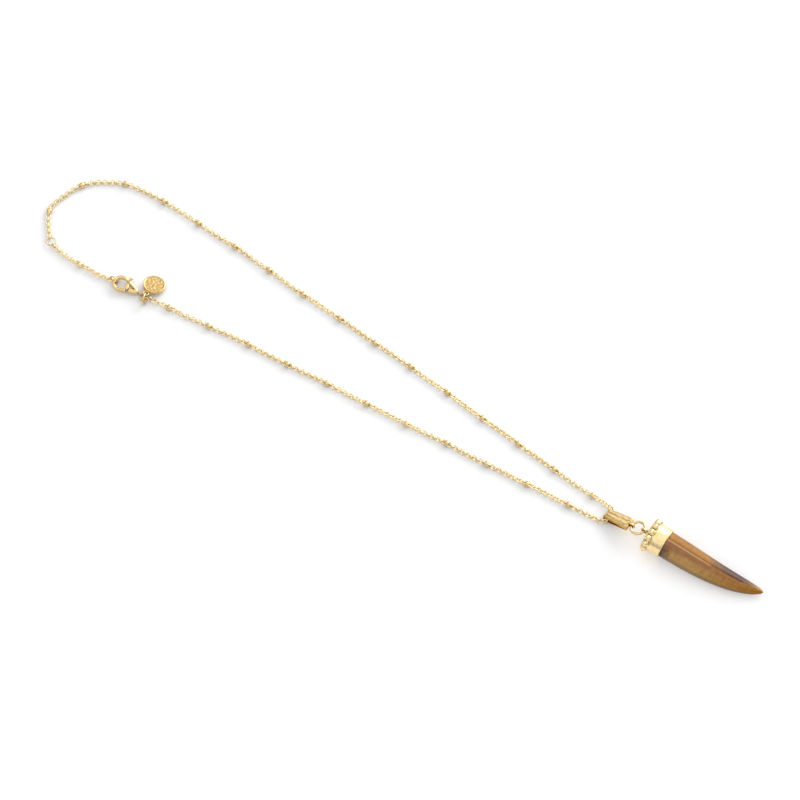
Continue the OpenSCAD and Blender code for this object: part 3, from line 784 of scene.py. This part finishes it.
def arithmetic(tree, operation, a, b):
    """Math node on two inputs, each a socket or a number."""
    node = tree.nodes.new("ShaderNodeMath")
    node.operation = operation
    for socket, value in zip(node.inputs, (a, b)):
        if isinstance(value, (int, float)):
            socket.default_value = value
        else:
            tree.links.new(value, socket)
    return node.outputs["Value"]


def blend(tree, share, low_colour, high_colour, mode="MIX"):
    node = tree.nodes.new("ShaderNodeMix")
    node.data_type = "RGBA"
    node.blend_type = mode
    for name, value in (("Factor", share), ("A", low_colour), ("B", high_colour)):
        socket = node.inputs[name]
        if isinstance(value, (int, float)):
            socket.default_value = value
        elif isinstance(value, tuple):
            socket.default_value = (*value, 1)
        else:
            tree.links.new(value, socket)
    return [o for o in node.outputs if o.type == "RGBA"][0]


def step_up(tree, value, low, high):
    node = tree.nodes.new("ShaderNodeMapRange")
    node.interpolation_type = "SMOOTHSTEP"
    node.inputs["From Min"].default_value = low
    node.inputs["From Max"].default_value = high
    tree.links.new(value, node.inputs["Value"])
    return node.outputs["Result"]


def gold(name, light, dark, rough, bump, grain, crevice_shade, reach, patch=0.35):
    """Plated brass: a little uneven in colour, gloss and surface, with painted shade darkening its crevices.
    """
    material, tree, shader = new_material(name)
    vector = coordinates(tree, IN_MM)
    tone = noise_texture(tree, vector, patch, 3.0, 0.6)
    colour = ramp(tree, tone, [(0.36, dark), (0.64, light)])
    # Painted shade: ambient occlusion darkens the base colour in crevices, between granules and where parts
    # meet
    painted_shade_ao = tree.nodes.new("ShaderNodeAmbientOcclusion")
    painted_shade_ao.samples = 8
    painted_shade_ao.inputs["Distance"].default_value = reach * MM
    low = (crevice_shade, crevice_shade * 0.88, crevice_shade * 0.7)
    shade = ramp(tree, painted_shade_ao.outputs["AO"], [(0.35, low), (0.92, (1.0, 1.0, 1.0))])
    colour = blend(tree, 1.0, colour, shade, "MULTIPLY")
    tree.links.new(colour, shader.inputs["Base Color"])
    wear = noise_texture(tree, vector, grain, 3.0)
    gloss = ramp(tree, wear, [(0.3, (rough[0],) * 3), (0.75, (rough[1],) * 3)])
    tree.links.new(gloss, shader.inputs["Roughness"])
    height = add_node(tree, "ShaderNodeBump", Strength=bump, Distance=0.00006)
    tree.links.new(wear, height.inputs["Height"])
    tree.links.new(height.outputs["Normal"], shader.inputs["Normal"])
    shader.inputs["Metallic"].default_value = 1.0
    return material


chain_gold = gold(
    "chain_gold", (1.0, 0.82, 0.47), (0.94, 0.74, 0.39), (0.16, 0.26),
    bump=0.15, grain=2.0, crevice_shade=0.7, reach=0.5)
cap_gold = gold(
    "cap_gold", (1.0, 0.82, 0.46), (0.86, 0.63, 0.29), (0.2, 0.34),
    bump=1.0, grain=0.8, crevice_shade=0.2, reach=1.1, patch=1.1)
bail_gold = gold(
    "bail_gold", (1.0, 0.76, 0.38), (0.78, 0.54, 0.23), (0.18, 0.3),
    bump=0.6, grain=1.1, crevice_shade=0.22, reach=0.9, patch=0.9)
plate_gold = gold(
    "plate_gold", (0.84, 0.63, 0.31), (0.74, 0.53, 0.25), (0.15, 0.25),
    bump=0.15, grain=1.2, crevice_shade=0.5, reach=0.8)
tag_gold = gold(
    "tag_gold", (0.74, 0.54, 0.25), (0.58, 0.40, 0.17), (0.24, 0.36),
    bump=0.5, grain=2.2, crevice_shade=0.5, reach=0.5, patch=1.0)


def shade_along(material, operation, centre, direction, reach, stops):
    """Deepens the colour by a distance in mm: from a centre, or along a direction from it."""
    tree = material.node_tree
    base = tree.nodes["Principled BSDF"].inputs["Base Color"]
    colour = base.links[0].from_socket
    offset = tree.nodes.new("ShaderNodeVectorMath")
    offset.operation = "SUBTRACT"
    offset.inputs[1].default_value = centre
    tree.links.new(coordinates(tree, IN_MM), offset.inputs[0])
    measure = tree.nodes.new("ShaderNodeVectorMath")
    measure.operation = operation
    measure.inputs[1].default_value = direction
    tree.links.new(offset.outputs["Vector"], measure.inputs[0])
    share = arithmetic(tree, "DIVIDE", measure.outputs["Value"], 2 * reach)
    share = arithmetic(tree, "ADD", share, 0.5)
    tree.links.new(blend(tree, 1.0, colour, ramp(tree, share, stops), "MULTIPLY"), base)


# Painted shade: the bail's long side facing away from the key light is darkened in its colour
BAIL_SHADED_SIDE = [(0.2, (0.68, 0.56, 0.38)), (0.31, (1.0, 1.0, 1.0))]
yaw = math.radians(BAIL_YAW)
shade_along(bail_gold, "DOT_PRODUCT", BAIL_AT, (math.sin(yaw), math.cos(yaw), 0.0), 2.5, BAIL_SHADED_SIDE)
tag_centre = TAG_AT + rotation_deg(-TAG_SLOPE, "X") @ Vector((0, TAG_CENTRE_Y, 0))
TAG_FACE = [(0.8, (0.84, 0.8, 0.74)), (0.83, (1.08, 1.08, 1.08))]
shade_along(tag_gold, "DISTANCE", tag_centre, (0, 0, 0), 5.0, TAG_FACE)


# The stone's few colours, and where its layers turn from one to the next along the horn
HONEY = (0.4, 0.165, 0.012)
UMBER = (0.12, 0.055, 0.035)
RUSSET = (0.36, 0.16, 0.06)
STRAW = (0.56, 0.31, 0.1)
UPPER_LAYER = [(0.4, HONEY), (0.6, UMBER), (0.8, UMBER), (1.0, STRAW)]
MIDDLE_LAYER = [(0.4, RUSSET), (1.0, HONEY)]
LOWER_LAYER = [(0.0, UMBER), (0.12, STRAW), (0.35, STRAW), (0.9, HONEY)]
# Painted shade: multiplied onto the stone's lower edge, standing in for shade and the dark reflection there
LOWER_EDGE_PAINTED_SHADE = (0.5, 0.55, 0.65)
# Painted highlight: a thin pale line along the stone's upper side, fading out before the middle of the horn
HIGHLIGHT_LINE_LAYER = 0.36
HIGHLIGHT_LINE_COLOUR = (0.62, 0.42, 0.27)
LAYERS_Y = 0.9135
LAYERS_Z = 0.4067


def unevenness(tree, scale, detail, roughness, amount):
    """Noise about zero, stretched along the horn."""
    value = noise_texture(tree, coordinates(tree, scale), 1.0, detail, roughness)
    return arithmetic(tree, "MULTIPLY", arithmetic(tree, "SUBTRACT", value, 0.5), amount)


def tiger_eye():
    """Polished brown quartz: three silky layers along the horn and fine fibres across them, with painted
    shade on its lower edge and a painted highlight line on its upper side.
    """
    material, tree, shader = new_material("tiger_eye")
    vector = coordinates(tree, IN_MM)
    parts_node = tree.nodes.new("ShaderNodeSeparateXYZ")
    tree.links.new(vector, parts_node.inputs["Vector"])
    x, y, z = parts_node.outputs
    share = arithmetic(tree, "DIVIDE", arithmetic(tree, "SUBTRACT", x, COLLAR_FRONT), STONE_LEN)
    share = arithmetic(tree, "MINIMUM", arithmetic(tree, "MAXIMUM", share, 0.0), 0.995)
    middle_y = arithmetic(tree, "MULTIPLY", arithmetic(tree, "POWER", share, STONE_CURVE), STONE_BEND)
    round_off = arithmetic(tree, "SUBTRACT", 1.0, arithmetic(tree, "MULTIPLY", share, share))
    radius = arithmetic(tree, "MULTIPLY", arithmetic(tree, "POWER", round_off, STONE_TAPER), STONE_R)
    side = arithmetic(tree, "MULTIPLY", arithmetic(tree, "SUBTRACT", y, middle_y), LAYERS_Y)
    side = arithmetic(tree, "ADD", side, arithmetic(tree, "MULTIPLY", z, LAYERS_Z))
    true_layer = arithmetic(tree, "DIVIDE", side, radius)
    layer = arithmetic(tree, "ADD", true_layer, unevenness(tree, (160, 420, 420), 3.0, 0.6, 0.3))
    along = arithmetic(tree, "ADD", share, unevenness(tree, (300, 500, 500), 4.0, 0.65, 0.2))
    lower, middle, upper = (ramp(tree, along, stops) for stops in (LOWER_LAYER, MIDDLE_LAYER, UPPER_LAYER))
    colour = blend(tree, step_up(tree, layer, -0.35, 0.1), lower, middle)
    colour = blend(tree, step_up(tree, layer, 0.33, 0.5), colour, upper)
    # Painted shade: the stone's lower edge is darkened in its colour
    edge = arithmetic(tree, "SUBTRACT", 1.0, step_up(tree, true_layer, -0.93, -0.6))
    colour = blend(tree, edge, colour, LOWER_EDGE_PAINTED_SHADE, "MULTIPLY")
    fibre = noise_texture(tree, coordinates(tree, (2600, 500, 500)), 1.0, 4.0, 0.6)
    silk = ramp(tree, fibre, [(0.3, (0.72, 0.72, 0.72)), (0.7, (1.0, 1.0, 1.0))])
    colour = blend(tree, 1.0, colour, silk, "MULTIPLY")
    cloud = noise_texture(tree, coordinates(tree, (700, 450, 450)), 1.0, 3.0, 0.6)
    shade = ramp(tree, cloud, [(0.3, (0.78, 0.76, 0.74)), (0.7, (1.0, 1.0, 1.0))])
    colour = blend(tree, 1.0, colour, shade, "MULTIPLY")
    # Painted highlight: a thin pale line painted into the colour at one layer, fading along the horn
    highlight_line_at = arithmetic(tree, "ABSOLUTE", arithmetic(tree, "SUBTRACT", true_layer, HIGHLIGHT_LINE_LAYER), 0.0)
    line = arithmetic(tree, "SUBTRACT", 1.0, step_up(tree, highlight_line_at, 0.015, 0.07))
    fade = arithmetic(tree, "SUBTRACT", 1.0, step_up(tree, along, 0.38, 0.5))
    line = arithmetic(tree, "MULTIPLY", line, fade)
    colour = blend(tree, arithmetic(tree, "MULTIPLY", line, 0.5), colour, HIGHLIGHT_LINE_COLOUR)
    tree.links.new(colour, shader.inputs["Base Color"])
    shader.inputs["Roughness"].default_value = 0.13
    shader.inputs["Specular IOR Level"].default_value = 0.22
    return material


stone_material = tiger_eye()

finish_piece(links_upper, chain_gold, "chain_upper")
finish_piece(links_lower, chain_gold, "chain_lower")
finish_piece(chain_balls, plate_gold, "chain_beads")
finish_piece(extension_links, chain_gold, "extension_chain")
for node_name, ring_piece in ring_pieces.items():
    finish_piece(ring_piece, plate_gold, node_name)
finish_piece(stone, stone_material, "horn_stone", slot="stone")
finish_piece(cap, cap_gold, "horn_cap")
finish_piece(bail, bail_gold, "bail")
finish_piece(tag, tag_gold, "tag_disc")
finish_piece(clasp_hook, plate_gold, "clasp_body")
finish_piece(clasp_gate, plate_gold, "clasp_lever", body="clasp_lever")
nodes["clasp_pin"].data.materials.clear()
nodes["clasp_pin"].data.materials.append(plate_gold)


# Floor and light
FLOOR_HALF = 2.5
FLOOR_COLOUR = (0.85, 0.853, 0.857)
SKY = [
    (0.0, (0.2, 0.2, 0.21)), (0.3, (0.4, 0.41, 0.43)),
    (0.6, (0.75, 0.76, 0.78)), (0.9, (0.85, 0.85, 0.85)),
]
SKY_POWER = 1.34
KEY_SIDE = math.radians(78)
KEY_HEIGHT = math.radians(24)
KEY_REACH = 2.6
KEY_SIZE = (2.6, 2.0)
KEY_POWER = 62.0
KEY_COLOUR = (1.0, 0.99, 0.97)


def add_floor():
    half = FLOOR_HALF
    corners = [(-half, -half, 0), (half, -half, 0), (half, half, 0), (-half, half, 0)]
    mesh = bpy.data.meshes.new("floor")
    mesh.from_pydata(corners, [], [(0, 1, 2, 3)])
    floor = bpy.data.objects.new("floor", mesh)
    scene.collection.objects.link(floor)
    material, tree, shader = new_material("floor")
    shader.inputs["Base Color"].default_value = (*FLOOR_COLOUR, 1)
    shader.inputs["Roughness"].default_value = 0.9
    shader.inputs["Specular IOR Level"].default_value = 0.1
    mesh.materials.append(material)
    floor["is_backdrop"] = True


def add_light(name, at, aim, size, power, colour):
    data = bpy.data.lights.new(name, "AREA")
    data.shape = "RECTANGLE"
    data.size, data.size_y = size
    data.energy = power
    data.color = colour
    light = bpy.data.objects.new(name, data)
    scene.collection.objects.link(light)
    light.location = at
    light.rotation_mode = "QUATERNION"
    light.rotation_quaternion = (Vector(aim) - Vector(at)).to_track_quat("-Z", "Y")
    return light


def add_world():
    world = bpy.data.worlds.new("world")
    scene.world = world
    world.use_nodes = True
    tree = world.node_tree
    background = tree.nodes["Background"]
    source = tree.nodes.new("ShaderNodeTexCoord")
    parts_node = tree.nodes.new("ShaderNodeSeparateXYZ")
    tree.links.new(source.outputs["Generated"], parts_node.inputs["Vector"])
    sky = ramp(tree, parts_node.outputs["Z"], SKY)
    tree.links.new(sky, background.inputs["Color"])
    background.inputs["Strength"].default_value = SKY_POWER


def add_lights():
    level = math.cos(KEY_HEIGHT)
    towards = Vector((math.cos(KEY_SIDE) * level, math.sin(KEY_SIDE) * level, math.sin(KEY_HEIGHT)))
    key = add_light("key", towards * KEY_REACH, (0, 0, 0), KEY_SIZE, KEY_POWER, KEY_COLOUR)
    # The photograph shows hardly any cast shadow below the horn, so stone and cap don't block this light
    blockers = bpy.data.collections.new("key_blockers")
    for piece in (stone, cap):
        blockers.objects.link(piece)
    for row in blockers.collection_objects:
        row.light_linking.link_state = "EXCLUDE"
    key.light_linking.blocker_collection = blockers


add_floor()
add_lights()
add_world()
scene.view_settings.view_transform = "Standard"

low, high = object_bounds()
